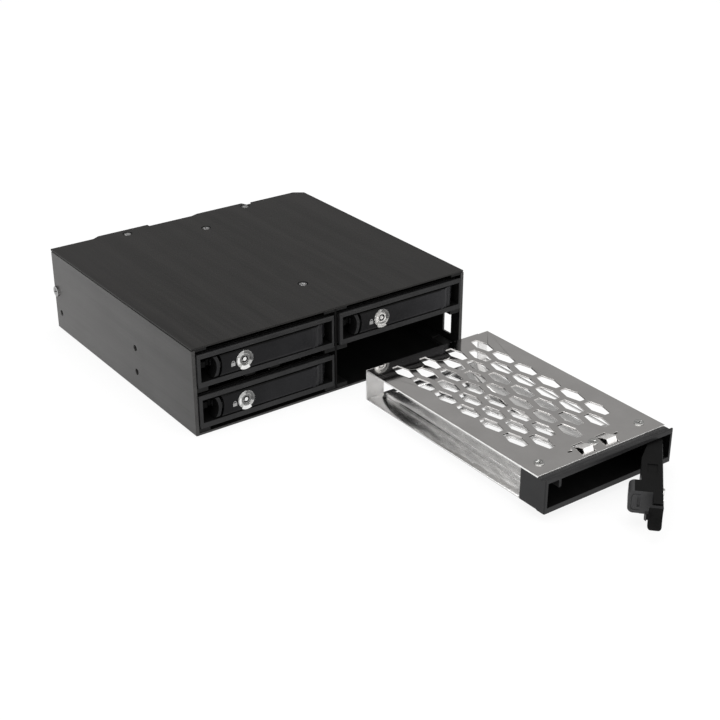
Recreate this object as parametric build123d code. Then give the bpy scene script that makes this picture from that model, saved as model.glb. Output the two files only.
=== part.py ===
from build123d import *
import math
import os

os.makedirs("parts", exist_ok=True)

# Hot swap drive cage for one 5.25 inch half-height bay, millimetres.
# Origin: middle of the front lower edge. +X right, +Y back, +Z up.

# Cage
CAGE_W = 146.0
CAGE_H = 41.3
CAGE_D = 138.0
WALL_T = 1.0
COVER_T = 0.8
COVER_SEAM = 0.3
HEM_T = 0.7
HEM_D = 6.0
BAY_X = 36.25
TIER_Z = (3.8, 23.1)
SEAT_Y = 3.5
HALF_W = CAGE_W / 2
INNER_X = HALF_W - WALL_T
HEM_X = INNER_X - HEM_T
COVER_Z = CAGE_H - COVER_T
WALL_TOP = COVER_Z - COVER_SEAM
DIVIDER_T = 1.0
RAIL_W = 5.6
RAIL_NOSE_D = 13.3
RAIL_END_Y = 114.0
WINDOW_Y = (7.0, 13.0)
WINDOW_Z = (2.0, 12.6)

# 5.25 inch bay mounting holes
SIDE_HOLE_Y = 52.6
SIDE_HOLE_PITCH = 79.25
SIDE_HOLE_Z = 9.5
SIDE_HOLE_RISE = 11.84
SIDE_HOLE_R = 1.5
SIDE_SCREW = (134.5, 20.3)

# Rear of the cage
BOARD_Y = 124.0
BOARD_T = 1.6
REAR_Y = 136.3
REAR_T = 1.0
SOCKET_X = -8.0
DATA_PORT_X = (-56.0, -36.0, 36.0, 56.0)
DATA_PORT_Z = 11.0
POWER_PORT_X = (-44.0, 44.0)
POWER_PORT_Z = 29.0
REAR_SCREW_X = (-33.0, 35.6)
REAR_SCREW_Y = 134.6
DIVIDER_SCREW_X = 3.0
DIVIDER_SCREW_Y = (30.8, 118.9)

# Tray
TRAY_W = 69.4
TRAY_L = 111.0
TRAY_H = 14.6
SHEET_T = 0.7
TRAVEL = 135.0
REAR_TABS = ((-34.7, -25.4), (29.2, 34.7))
HALF_TRAY = TRAY_W / 2
TOP_Z = TRAY_H - SHEET_T

# Stretched honeycomb
HEX_COLUMN = 7.5
HEX_ROW = 14.7
HEX_HALF_W = 3.15
HEX_HALF_L = 6.1
HEX_ROWS = 6
HEX_FIRST_Y = {0: 19.1, 1: 26.4}
TOP_COLUMNS = (-3, -2, -1, 0, 1, 2, 3)
FLOOR_COLUMNS = (-1, 0, 1)
FLOOR_WINDOW = ((27.6, 33.9), (32.0, 107.0))
BEAD_X = (20.6, 26.4)
BEAD_Y = (14.0, 108.5)
BEAD_H = 1.1

# Tray bezel
BEZEL_FRONT = -4.6
BEZEL_BACK = 9.6
BEZEL_LOW = -0.3
BEZEL_TOP = 15.0
RECESS_X = HALF_TRAY - 1.4
RECESS_Z = (2.1, 13.0)
RECESS_BACK = 8.6
CORNER_SCREW = (27.3, 7.4)
MID_SCREW = (1.0, 6.85)
BOSS_W = 4.0
CLIP_ARCH_X = 6.4
CLIP_ARCH_W = 5.0
CLIP_END_X = 12.6
BOSS_LOW = 10.2
SCREW_R = 1.1
HOLE_R = 1.25

# Lever, lock and trigger
HINGE_X = 27.5
HINGE_Y = -1.2
PIN_R = 1.0
PIN_CLEARANCE = 0.05
LEVER_Z = (2.35, 12.2)
LEVER_BACK = 3.7
LEVER_TIP_BACK = -0.9
LEVER_OPEN = 43.5
LOCK_X = -12.0
LOCK_Z = 7.3
CUP_X = LOCK_X - 4.2
CUP_W = 8.4
CUP_BACK = 8.3
LOCK_FLANGE_R = 4.1
LOCK_BARREL_R = 3.4
PLUG_R = 2.4
LOCK_LUGS = ((-20, 120, 4.0), (235, 65, 4.6), (155, 50, 3.9))
TRIGGER_AXIS = (-33.45, 7.55)
TRIGGER_R = (7.8, 9.3)
LEVER_END_R = 10.5
TRIGGER_Z = (2.5, 12.2)
TRIGGER_BACK = 0.7
LIGHT_X = (21.0, 27.6)
LIGHT_Z = 7.6

# Trays: side (-1 left, 1 right), tier, pulled out
TRAYS = {
    "tray_1": (-1, 1, False),
    "tray_2": (1, 1, False),
    "tray_3": (-1, 0, False),
    "tray_4": (1, 0, True),
}


def block(x, y, z):
    """Box between pairs of coordinates."""
    size = [pair[1] - pair[0] for pair in (x, y, z)]
    middle = [(pair[1] + pair[0]) / 2 for pair in (x, y, z)]
    return Pos(*middle) * Box(*size)


def around(middle, width):
    """Pair of coordinates for a width centred on a middle."""
    return (middle - width / 2, middle + width / 2)


def rod(radius, start, end):
    """Cylinder between two points."""
    direction = Vector(*end) - Vector(*start)
    base = Plane(origin=start, z_dir=direction)
    low = (Align.CENTER, Align.CENTER, Align.MIN)
    return base * Cylinder(radius, direction.length, align=low)


def slab(points, z):
    """Closed outline in plan, raised between two heights."""
    outline = make_face(Polyline(*points, close=True))
    return Pos(0, 0, z[0]) * extrude(outline, z[1] - z[0])


def along_x(points, x):
    """Closed (y, z) outline, run between two places on X."""
    outline = Plane.YZ * make_face(Polyline(*points, close=True))
    return Pos(x[0], 0, 0) * extrude(outline, x[1] - x[0])


def group(pieces):
    """Loose solids that make one node."""
    return Compound([solid for piece in pieces for solid in piece.solids()])


def both_sides(piece):
    """A piece and its mirror image across the middle plane."""
    return piece + mirror(piece, about=Plane.YZ)


def honeycomb(columns):
    """Stretched six-sided holes, alternate columns half a row apart."""
    w = HEX_HALF_W
    cell = make_face(Polyline((w, 0), (w / 2, HEX_HALF_L), (-w / 2, HEX_HALF_L), (-w, 0),
                              (-w / 2, -HEX_HALF_L), (w / 2, -HEX_HALF_L), close=True))
    cells = []
    for column in columns:
        first = HEX_FIRST_Y[abs(column) % 2]
        for row in range(HEX_ROWS):
            cells.append(Pos(column * HEX_COLUMN, first + row * HEX_ROW) * cell)
    return cells


# ---- tray pieces, in the tray's own frame: y = 0 at the top plate's front edge ----


def tray_top():
    """Mirror-finish sheet with a honeycomb and two tabs folded down at the rear corners."""
    sheet = Pos(0, TRAY_L / 2) * Rectangle(TRAY_W, TRAY_L)
    sheet -= honeycomb(TOP_COLUMNS)
    for side in (-1, 1):
        sheet -= Pos(MID_SCREW[0] + side * CLIP_ARCH_X, 5.6) * Rectangle(CLIP_ARCH_W + 0.6, 8.4)
        sheet -= Pos(MID_SCREW[0] + side * CLIP_END_X, 6.8) * Rectangle(2.2, 1.0)
    for x, y in tray_screw_places():
        sheet -= Pos(x, y) * Circle(HOLE_R)
    top = Pos(0, 0, TOP_Z) * extrude(sheet, SHEET_T)
    for tab in REAR_TABS:
        top += block(tab, (TRAY_L - SHEET_T, TRAY_L), (0, TOP_Z))
    bends = top.edges().filter_by(Axis.X).filter_by(
        lambda e: e.center().Z > TRAY_H - 0.01 and e.center().Y > TRAY_L - 0.01)
    return fillet(bends, 0.5)


def tray_screw_places():
    """Screws through the top plate: two corners and the middle."""
    return [(-CORNER_SCREW[0], CORNER_SCREW[1]), CORNER_SCREW, MID_SCREW]


def tray_floor():
    """Lower sheet with vents, a side window, two pressed drive rests and a front tongue."""
    front = BEZEL_BACK + 0.4
    sheet = Pos(0, (front + TRAY_L) / 2) * Rectangle(TRAY_W, TRAY_L - front)
    sheet += Pos(0, (2.2 + front) / 2 + 0.5) * Rectangle(50, front - 2.2 + 1)
    sheet -= honeycomb(FLOOR_COLUMNS)
    window = block(*FLOOR_WINDOW, (-1, 1))
    floor = extrude(sheet, SHEET_T) - window
    for tab in REAR_TABS:
        floor -= block(tab, (TRAY_L - SHEET_T, TRAY_L + 1), (-1, 1))
    # each rest is a pressed rib, hollow below
    width = BEAD_X[1] - BEAD_X[0]
    length = BEAD_Y[1] - BEAD_Y[0]
    place = Pos(sum(BEAD_X) / 2, sum(BEAD_Y) / 2, 0)
    rest = extrude(SlotOverall(length, width, rotation=90), BEAD_H, taper=40)
    hollow = extrude(Rectangle(width - 2.4, length - 6), BEAD_H, taper=30)
    floor += both_sides(place * Pos(0, 0, SHEET_T) * rest)
    floor -= both_sides(place * hollow)
    return floor


def bezel():
    """Moulded front ring with a raised front ridge, closed back, bosses and pin holes."""
    front, back = BEZEL_FRONT, BEZEL_BACK
    section = [(front, BEZEL_LOW), (front, BEZEL_TOP - 0.3), (front + 0.3, BEZEL_TOP),
               (front + 0.9, BEZEL_TOP), (front + 1.7, TOP_Z), (back, TOP_Z), (back, 0),
               (0, 0), (-0.5, BEZEL_LOW)]
    body = along_x(section, (-HALF_TRAY, HALF_TRAY))
    corner = 0.4
    plan = [(-HALF_TRAY, back), (-HALF_TRAY, front + corner), (-HALF_TRAY + corner, front),
            (HALF_TRAY - corner, front), (HALF_TRAY, front + corner), (HALF_TRAY, back)]
    body &= slab(plan, (BEZEL_LOW, BEZEL_TOP))
    body -= block((-RECESS_X, RECESS_X), (front - 1, RECESS_BACK), RECESS_Z)
    # screw bosses under the roof, the locating rib and the catch for the trigger's hook
    for x, y in tray_screw_places():
        body += block(around(x, BOSS_W), (y - BOSS_W / 2, back - 0.5), (BOSS_LOW, TOP_Z - 0.5))
    body += block((-18.9, -17.6), (4.2, RECESS_BACK), RECESS_Z)
    body += block((-RECESS_X, -28.4), (0.2, 0.9), (6.2, 8.9))
    # holes for the hinge pin, the screws and the light guides
    body -= rod(PIN_R + PIN_CLEARANCE, (HINGE_X, HINGE_Y, 0.5), (HINGE_X, HINGE_Y, 13.5))
    for x, y in tray_screw_places():
        body -= rod(SCREW_R + PIN_CLEARANCE, (x, y, BOSS_LOW + 0.4), (x, y, TRAY_H))
    body -= block((-25.2, 25.2), (2.0, back + 1), (-1, SHEET_T))
    for x in LIGHT_X:
        body -= light_guide_at(x, 0.0)
    # seat of the contact clip
    body -= block(around(MID_SCREW[0], 31.0), (0.8, back + 1), (TOP_Z - 0.45, TRAY_H))
    return body


def light_guide_at(x, gap):
    """Clear guide with cut corners through the back of the bezel."""
    outline = Rectangle(1.6 - gap, 2.8 - gap)
    outline = Plane.XZ * chamfer(outline.vertices(), 0.5)
    return Pos(x, RECESS_BACK - 0.6, LIGHT_Z) * extrude(outline, -3.0)


def light_guides():
    return group([light_guide_at(x, 0.05) for x in LIGHT_X])


def contact_clip():
    """Spring strip under the top plate with two sprung arches that stand out of it."""
    x, y = MID_SCREW
    base = block(around(x, 29.0), (1.2, BEZEL_BACK), (TOP_Z - 0.4, TOP_Z - 0.05))
    base -= block(around(x, 2 * HOLE_R), (y - HOLE_R, BEZEL_BACK + 1), (0, TRAY_H))
    # gentle rise from the back, steep drop at the front
    outer = ThreePointArc((9.2, 14.0), (6.4, 15.55), (3.4, 16.2))
    inner = ThreePointArc((3.65, 15.82), (6.3, 15.2), (8.9, 13.85))
    low = TOP_Z - 0.4
    arch = make_face([outer, Line((3.4, 16.2), (1.9, low)), Line((1.9, low), (2.3, low)),
                      Line((2.3, low), (3.65, 15.82)), inner, Line((8.9, 13.85), (8.9, low)),
                      Line((8.9, low), (9.2, low)), Line((9.2, low), (9.2, 14.0))])
    for side in (-1, 1):
        middle = x + side * CLIP_ARCH_X
        base -= block(around(middle, CLIP_ARCH_W + 0.4), (2.2, 9.0), (0, TRAY_H))
        base += Pos(middle - CLIP_ARCH_W / 2, 0, 0) * extrude(Plane.YZ * arch, CLIP_ARCH_W)
    return base


def tray_screws():
    """Three pan-head screws that hold the top plate on the bezel."""
    pieces = []
    for x, y in tray_screw_places():
        head = rod(2.1, (x, y, TRAY_H), (x, y, TRAY_H + 0.45))
        pieces.append(head + rod(SCREW_R, (x, y, BOSS_LOW + 0.6), (x, y, TRAY_H)))
    return group(pieces)


def hinge_pin():
    return rod(PIN_R, (HINGE_X, HINGE_Y, 0.6), (HINGE_X, HINGE_Y, 13.4))


# ---- lever group, drawn closed ----


def lever():
    """Moulded handle: thin tip, deep middle, rounded hinge end, barrel, toe and lock cup."""
    front = BEZEL_FRONT
    tip, step = (-26, LEVER_TIP_BACK), (CUP_X, LEVER_TIP_BACK)
    outline = [Line(tip, (-26, front)), Line((-26, front), (22.5, front)),
               ThreePointArc((22.5, front), (26.6, front + 0.7), (29.3, -1.6)),
               Line((29.3, -1.6), (HINGE_X, 1.4)), Line((HINGE_X, 1.4), (21, 1.4)),
               Line((21, 1.4), (9, LEVER_BACK)), Line((9, LEVER_BACK), (CUP_X, LEVER_BACK)),
               Line((CUP_X, LEVER_BACK), step), Line(step, tip)]
    low, high = LEVER_Z
    body = Pos(0, 0, low) * extrude(make_face(outline), high - low)
    relief = [(front, low), (front + 0.4, low), (front, low + 1.2)]
    body -= along_x(relief, (-30, 25))
    body -= along_x([(front, high), (front + 0.3, high), (front, high - 0.5)], (-30, 25))
    barrel = (HINGE_X, HINGE_Y)
    body += rod(2.6, (*barrel, LEVER_Z[0]), (*barrel, LEVER_Z[1]))
    body += slab([(28.2, -3.0), (32.2, -0.2), (32.2, 1.0), (28.0, 1.3)], (4.2, 10.6))
    body += lock_cup()
    # curved free end, pin bore, lock bore and the trigger's pocket
    axis_x, axis_z = TRIGGER_AXIS
    body -= rod(LEVER_END_R, (axis_x, front - 1, axis_z), (axis_x, LEVER_BACK + 1, axis_z))
    body -= block((-40, axis_x + 8.3), (front - 1, LEVER_BACK + 1), (0, 15))
    body -= rod(PIN_R + PIN_CLEARANCE, (*barrel, 0), (*barrel, 15))
    body -= rod(LOCK_BARREL_R + 0.03, (LOCK_X, front - 1, LOCK_Z), (LOCK_X, 5.0, LOCK_Z))
    body -= rod(3.5, (LOCK_X, 4.9, LOCK_Z), (LOCK_X, 6.8, LOCK_Z))
    body -= block((-25, -18.0), (-3.7, -1.3), (5.6, 9.4))
    # shallow snap pocket in the upper edge
    body -= block((-2.0, 5.0), (-2.6, 1.4), (LEVER_Z[1] - 0.4, 15))
    return body


def lock_cup():
    """Rounded cup behind the lever, with a grooved outer face, that holds the lock's tongue."""
    low, high, radius = LEVER_Z[0] + 0.1, LEVER_Z[1], 2.2
    depth = CUP_BACK - LEVER_TIP_BACK
    outline = Pos(LEVER_TIP_BACK + depth / 2, (low + high) / 2) * Rectangle(depth, high - low)
    rear = outline.vertices().sort_by(Axis.X)[-2:]
    cup = Pos(CUP_X, 0, 0) * extrude(Plane.YZ * fillet(rear, radius), CUP_W)
    middle = Pos(CUP_X, (LEVER_TIP_BACK + CUP_BACK) / 2, LOCK_Z)
    groove = RectangleRounded(6.9, 7.2, 1.3) - RectangleRounded(6.2, 6.5, 1.0)
    cup -= middle * extrude(Plane.YZ * groove, 0.3)
    cup -= middle * extrude(Plane.YZ * Rectangle(2.3, 4.2), 0.6)
    return cup


def turned(profile, x, z):
    """Solid of revolution about a front-to-back axis from (radius, y) points."""
    face = make_face(Polyline(*profile, close=True))
    return Pos(x, 0, z) * revolve(face, Axis.Y)


def lock_housing():
    """Chromed barrel with a flat flange and a castellated collar of three lugs."""
    face = BEZEL_FRONT
    bore = PLUG_R + PIN_CLEARANCE
    flange = LOCK_FLANGE_R
    body = turned([(bore, face - 0.45), (flange, face - 0.45), (flange, face),
                   (LOCK_BARREL_R, face), (LOCK_BARREL_R, 4.8), (bore, 4.8)], LOCK_X, LOCK_Z)
    for start, sweep, outer in LOCK_LUGS:
        lug = sector(outer, start, sweep) - Circle(bore + 0.35)
        raised = Pos(LOCK_X, face - 0.4, LOCK_Z) * extrude(Plane.XZ * lug, 0.85)
        body += raised
    return body


def sector(radius, start, sweep):
    """Pie slice, angles in degrees from +X towards +Z."""
    first, last = (math.radians(a) for a in (start, start + sweep))
    half = (first + last) / 2
    ends = [(radius * math.cos(a), radius * math.sin(a)) for a in (first, half, last)]
    return make_face([Line((0, 0), ends[0]), ThreePointArc(*ends), Line(ends[2], (0, 0))])


def lock_cylinder():
    """Turning plug with a round key socket and the tongue on its inner end."""
    face = BEZEL_FRONT - 0.4
    plug = turned([(0, face), (0.9, face), (0.9, face + 1.8), (1.6, face + 1.8), (1.6, face),
                   (PLUG_R, face), (PLUG_R, 5.2), (0, 5.2)], LOCK_X, LOCK_Z)
    tongue = block(around(LOCK_X, 6.0), (5.2, 6.2), around(LOCK_Z, 1.8))
    return plug + tongue


def trigger():
    """Curved thumb catch at the lever's free end, with its stem and hook."""
    axis_x, axis_z = TRIGGER_AXIS
    inner, outer = TRIGGER_R
    ring = Pos(axis_x, axis_z) * (Circle(outer) - Circle(inner))
    middle_z = sum(TRIGGER_Z) / 2
    span = Rectangle(outer, TRIGGER_Z[1] - TRIGGER_Z[0])
    ring &= Pos(axis_x + outer / 2 + 2, middle_z) * span
    back = TRIGGER_BACK
    body = Pos(0, back, 0) * extrude(Plane.XZ * ring, back - BEZEL_FRONT)
    lower_ends = body.edges().filter_by(Axis.X).filter_by(
        lambda e: e.center().Z < TRIGGER_Z[0] + 0.01)
    body = fillet(lower_ends, 1.2)
    body += block((-25.4, -20.2), (-3.5, -1.5), (6.0, 9.0))
    body += block((-26.4, -24.6), (back - 0.5, 2.2), (6.2, 8.9))
    body += slab([(-26.2, 1.2), (-27.5, 1.5), (-26.2, 2.2)], (6.2, 8.9))
    return body


def trigger_spring():
    """Folded leaf spring between the stem and the end of its pocket."""
    leaf = [(-20.2, -3.5), (-19.2, -3.1), (-20.0, -2.3), (-19.2, -1.6), (-19.5, -1.6),
            (-20.2, -2.3), (-19.5, -3.1), (-20.2, -3.3)]
    return slab(leaf, (6.3, 8.7))


FIXED_PIECES = {
    "top_plate": tray_top,
    "floor_plate": tray_floor,
    "bezel": bezel,
    "contact_clip": contact_clip,
    "screws": tray_screws,
    "hinge_pin": hinge_pin,
    "light_guides": light_guides,
}
LEVER_PIECES = {
    "lever": lever,
    "lock_housing": lock_housing,
    "lock_cylinder": lock_cylinder,
    "trigger": trigger,
    "trigger_spring": trigger_spring,
}


# ---- cage pieces ----


def base_shell():
    """Folded floor and side walls with hemmed front edges."""
    shell = block((-HALF_W, HALF_W), (0, CAGE_D - 0.7), (0, WALL_T))
    wall = block((INNER_X, HALF_W), (0, CAGE_D - 0.7), (0, WALL_TOP))
    hem = block((HEM_X, INNER_X), (0, HEM_D), (0, WALL_TOP))
    shell += both_sides(wall + hem)
    bends = shell.edges().filter_by(Axis.Y).filter_by(
        lambda e: e.center().Z < 0.01 and abs(e.center().X) > HALF_W - 0.01)
    shell = fillet(bends, 0.6)
    rear = SIDE_HOLE_Y + SIDE_HOLE_PITCH
    holes = [(SIDE_HOLE_Y, SIDE_HOLE_Z), (SIDE_HOLE_Y, SIDE_HOLE_Z + SIDE_HOLE_RISE),
             (rear, SIDE_HOLE_Z), SIDE_SCREW]
    for y, z in holes:
        shell -= rod(SIDE_HOLE_R, (-HALF_W - 1, y, z), (HALF_W + 1, y, z))
    for z in TIER_Z:
        shell -= block((INNER_X - 0.5, HALF_W + 1), WINDOW_Y, (z + WINDOW_Z[0], z + WINDOW_Z[1]))
    for y in DIVIDER_SCREW_Y:
        shell -= block(around(0, DIVIDER_T + 0.1), around(y, 6.2), (-1, WALL_T + 0.5))
    return shell


def top_cover():
    """Separate lid with rear tabs, inner side flanges and countersunk holes."""
    half = HALF_W - 0.2
    outline = [(-half, 0.15), (half, 0.15), (half, CAGE_D - 3.5), (half - 5, CAGE_D),
               (41.0, CAGE_D), (40.0, CAGE_D - 1.8), (37.5, CAGE_D - 1.8), (36.3, CAGE_D + 1.4),
               (9.5, CAGE_D + 1.4), (5.5, CAGE_D), (-19.0, CAGE_D), (-19.0, CAGE_D + 2.0),
               (-46.5, CAGE_D + 2.0), (-50.0, CAGE_D), (-half, CAGE_D)]
    cover = slab(outline, (COVER_Z, CAGE_H))
    cover += both_sides(block((HEM_X, INNER_X - 0.05), (8, 128), (36.5, COVER_Z + 0.1)))
    for x, y in cover_screw_places():
        cover -= screw_cone(x, y, 0.05)
    return cover


def cover_screw_places():
    rear = [(x, REAR_SCREW_Y) for x in REAR_SCREW_X]
    return rear + [(DIVIDER_SCREW_X, y) for y in DIVIDER_SCREW_Y]


def screw_cone(x, y, gap):
    """Countersunk head and shank, with a gap all round for a clearance hole."""
    top = CAGE_H + (0.5 if gap else 0)
    points = [(0, top), (2.4 + gap, top), (2.4 + gap, CAGE_H - 0.1), (1.3 + gap, COVER_Z + 0.1),
              (1.3 + gap, 38.5), (0, 38.5)]
    face = Plane.XZ * make_face(Polyline(*points, close=True))
    return Pos(x, y, 0) * revolve(face, Axis.Z)


def cover_screws():
    return group([screw_cone(x, y, 0) for x, y in cover_screw_places()])


def divider():
    """Middle sheet with toe windows, floor tabs and two screw flanges."""
    half = DIVIDER_T / 2
    sheet = block((-half, half), (0.3, 122.0), (WALL_T, COVER_Z))
    for z in TIER_Z:
        sheet -= block((-1, 1), WINDOW_Y, (z + WINDOW_Z[0], z + WINDOW_Z[1]))
    for y in DIVIDER_SCREW_Y:
        sheet += block((-half, half), around(y, 6.0), (0, WALL_T + 0.1))
        flange = block((half - 0.1, 8.0), around(y, 9.0), (COVER_Z - 1.0, COVER_Z))
        sheet += flange - rod(1.35, (DIVIDER_SCREW_X, y, 30), (DIVIDER_SCREW_X, y, CAGE_H))
    return sheet


def guide_rails():
    """Moulded rails that the trays run on, with noses that show at the front."""
    pieces = []
    divider_face = DIVIDER_T / 2
    lines = [(-INNER_X, -HEM_X, 1), (-divider_face, -divider_face, -1),
             (divider_face, divider_face, 1), (INNER_X, HEM_X, -1)]
    for wall, nose_wall, inward in lines:
        inner = nose_wall + inward * RAIL_W
        for low, nose_top, top in ((WALL_T, 3.0, 3.55), (20.1, 22.3, 22.85)):
            front = block(sorted_pair(nose_wall, inner), (0.2, RAIL_NOSE_D), (low, nose_top))
            run = block(sorted_pair(wall, inner), (RAIL_NOSE_D, RAIL_END_Y), (low, top))
            rail = front + run
            if abs(wall) == INNER_X and low > WALL_T:
                # room behind the side wall for the end of a bay screw
                rail -= block(around(wall, 6.0), around(SIDE_HOLE_Y, 4.4), (low - 1, top + 1))
            pieces.append(rail)
        stop = block(sorted_pair(nose_wall, inner), (0.2, 16.0), (39.2, COVER_Z))
        pieces.append(stop)
    return group(pieces)


def sorted_pair(a, b):
    return (min(a, b), max(a, b))


def rear_plate():
    """Back plate with port cut-outs, vents and fixing flanges."""
    plate = block((-INNER_X, INNER_X), (REAR_Y, REAR_Y + REAR_T), (WALL_T, WALL_TOP))
    for x in DATA_PORT_X:
        plate -= block(around(x, 15.4), (REAR_Y - 1, REAR_Y + 2), around(DATA_PORT_Z, 8.8))
    for x in POWER_PORT_X:
        plate -= block(around(x, 23.4), (REAR_Y - 1, REAR_Y + 2), around(POWER_PORT_Z, 8.8))
    for column in range(-4, 5):
        for z in (14.0, 28.0):
            plate -= block(around(column * 5.0, 2.6), (REAR_Y - 1, REAR_Y + 2), around(z, 11.0))
    y, z = SIDE_SCREW
    side = block((INNER_X - 1.0, INNER_X), (REAR_Y - 5, REAR_Y + 0.1), around(z, 9.0))
    side -= rod(1.35, (0, y, z), (HALF_W, y, z))
    plate += both_sides(side)
    for x in REAR_SCREW_X:
        flange = block(around(x, 12.0), (REAR_Y - 6, REAR_Y + 0.1), (COVER_Z - 1.0, COVER_Z))
        plate += flange - rod(1.35, (x, REAR_SCREW_Y, 30), (x, REAR_SCREW_Y, CAGE_H))
        plate += block(around(x, 12.0), (REAR_Y, REAR_Y + REAR_T), (WALL_TOP - 0.1, COVER_Z))
    return plate


def side_screws():
    """Large pan-head screws that hold the back plate through the side walls."""
    y, z = SIDE_SCREW
    head = rod(2.6, (HALF_W, y, z), (HALF_W + 0.9, y, z))
    shank = rod(1.3, (HALF_W - 4.0, y, z), (HALF_W, y, z))
    screw = head + shank
    return group([screw, mirror(screw, about=Plane.YZ)])


def backplane_board():
    """Circuit board with air slots between the sockets."""
    board = block((-70.0, 70.0), (BOARD_Y, BOARD_Y + BOARD_T), (3.0, 38.8))
    for x in (-BAY_X, BAY_X):
        board -= block(around(x, 46.0), (BOARD_Y - 1, BOARD_Y + 3), (13.5, 21.5))
        board -= block(around(x, 46.0), (BOARD_Y - 1, BOARD_Y + 3), (34.0, 37.0))
    board -= block(around(0, 4.0), (BOARD_Y - 1, BOARD_Y + 3), (24.0, 40.0))
    return board


def connector(width, height, depth, tongues):
    """Open shroud with contact tongues; mouth at y = 0, back at y = depth."""
    body = block(around(0, width), (0, depth), around(0, height))
    body -= block(around(0, width - 2.0), (-1, depth - 2.0), around(0, height - 2.0))
    for low, high in tongues:
        body += block((low, high), (1.0, depth), (-0.6, 0.6))
    return body


def drive_sockets():
    """Combined data and power sockets that the drives plug into."""
    pieces = []
    depth = 8.4
    for x in (-BAY_X, BAY_X):
        for z in TIER_Z:
            socket = connector(33.4, 5.6, depth, ((-15.0, 4.5), (6.5, 15.0)))
            pieces.append(Pos(x + SOCKET_X, BOARD_Y - depth, z + 4.4) * socket)
    return group(pieces)


def rear_ports(places, z, width, tongues):
    """Cable ports that face out of the back plate."""
    start = BOARD_Y + BOARD_T
    depth = REAR_Y + REAR_T + 0.6 - start
    pieces = []
    for x in places:
        port = connector(width, 8.0, depth, tongues)
        pieces.append(Pos(x, start + depth, z) * Rot(0, 0, 180) * port)
    return group(pieces)


def data_ports():
    return rear_ports(DATA_PORT_X, DATA_PORT_Z, 14.6, ((-5.0, 5.0),))


def power_ports():
    return rear_ports(POWER_PORT_X, POWER_PORT_Z, 22.6, ((-9.0, 9.0),))


CAGE_PIECES = {
    "base_shell": base_shell,
    "top_cover": top_cover,
    "divider": divider,
    "guide_rails": guide_rails,
    "rear_plate": rear_plate,
    "backplane_board": backplane_board,
    "drive_sockets": drive_sockets,
    "data_ports": data_ports,
    "power_ports": power_ports,
    "cover_screws": cover_screws,
    "side_screws": side_screws,
}


def main():
    for name, make in CAGE_PIECES.items():
        export_step(make(), f"parts/{name}.step")
    fixed = {name: make() for name, make in FIXED_PIECES.items()}
    moving = {name: make() for name, make in LEVER_PIECES.items()}
    hinge = Pos(HINGE_X, HINGE_Y, 0)
    opened = hinge * Rot(0, 0, LEVER_OPEN) * Pos(-HINGE_X, -HINGE_Y, 0)
    for tray, (side, tier, pulled_out) in TRAYS.items():
        seat = Pos(side * BAY_X, SEAT_Y - (TRAVEL if pulled_out else 0), TIER_Z[tier])
        for name, piece in fixed.items():
            export_step(seat * piece, f"parts/{tray}_{name}.step")
        swing = seat * opened if pulled_out else seat
        for name, piece in moving.items():
            export_step(swing * piece, f"parts/{tray}_{name}.step")


main()
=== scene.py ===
import bpy
import bmesh
import math
from mathutils import Matrix, Vector


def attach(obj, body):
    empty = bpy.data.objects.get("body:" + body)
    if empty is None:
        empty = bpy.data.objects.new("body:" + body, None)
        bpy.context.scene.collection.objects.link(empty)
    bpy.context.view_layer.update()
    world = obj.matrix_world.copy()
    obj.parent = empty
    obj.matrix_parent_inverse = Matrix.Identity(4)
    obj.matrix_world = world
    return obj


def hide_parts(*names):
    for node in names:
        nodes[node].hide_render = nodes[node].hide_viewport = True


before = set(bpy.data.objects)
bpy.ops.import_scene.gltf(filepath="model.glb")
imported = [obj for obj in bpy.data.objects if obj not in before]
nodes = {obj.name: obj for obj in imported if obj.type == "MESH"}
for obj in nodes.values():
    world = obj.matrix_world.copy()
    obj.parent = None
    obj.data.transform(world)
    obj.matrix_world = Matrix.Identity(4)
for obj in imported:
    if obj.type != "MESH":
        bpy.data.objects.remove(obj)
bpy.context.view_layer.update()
scene = bpy.context.scene
mm = 0.001
print("frame loaded with", len(nodes), "nodes")

# Where each tray stands, as in the CAD model
cage = {"bayX": 36.25, "seatY": 3.5, "travel": 135.0, "tierZ": (3.8, 23.1), "top": 41.3}
hinge = {"x": 27.5, "y": -1.2, "openAngle": 43.5}
trays = {
    "tray_1": (-1, 1, False),
    "tray_2": (1, 1, False),
    "tray_3": (-1, 0, False),
    "tray_4": (1, 0, True),
}


def trayPlace(tray):
    side, tier, out = trays[tray]
    y = cage["seatY"] - (cage["travel"] if out else 0)
    return Matrix.Translation(Vector((side * cage["bayX"], y, cage["tierZ"][tier])) * mm)


def leverPlace(tray):
    if not trays[tray][2]:
        return trayPlace(tray)
    pivot = Matrix.Translation(Vector((hinge["x"], hinge["y"], 0)) * mm)
    turn = Matrix.Rotation(math.radians(hinge["openAngle"]), 4, "Z")
    return trayPlace(tray) @ pivot @ turn @ pivot.inverted()


def addNode(tree, kind, inputs=None, **settings):
    made = tree.nodes.new(kind)
    for name, value in settings.items():
        setattr(made, name, value)
    for label, value in (inputs or {}).items():
        socket = made.inputs[label]
        if isinstance(value, bpy.types.NodeSocket):
            tree.links.new(value, socket)
        else:
            socket.default_value = value
    return made


# shader groups shared by several finishes


def newGroup(name, inputs, outputs):
    group = bpy.data.node_groups.new(name, "ShaderNodeTree")
    for label, kind, value in inputs:
        socket = group.interface.new_socket(label, in_out="INPUT", socket_type=kind)
        if value is not None:
            socket.default_value = value
    for label, kind in outputs:
        group.interface.new_socket(label, in_out="OUTPUT", socket_type=kind)
    return group, group.nodes.new("NodeGroupInput"), group.nodes.new("NodeGroupOutput")


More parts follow.
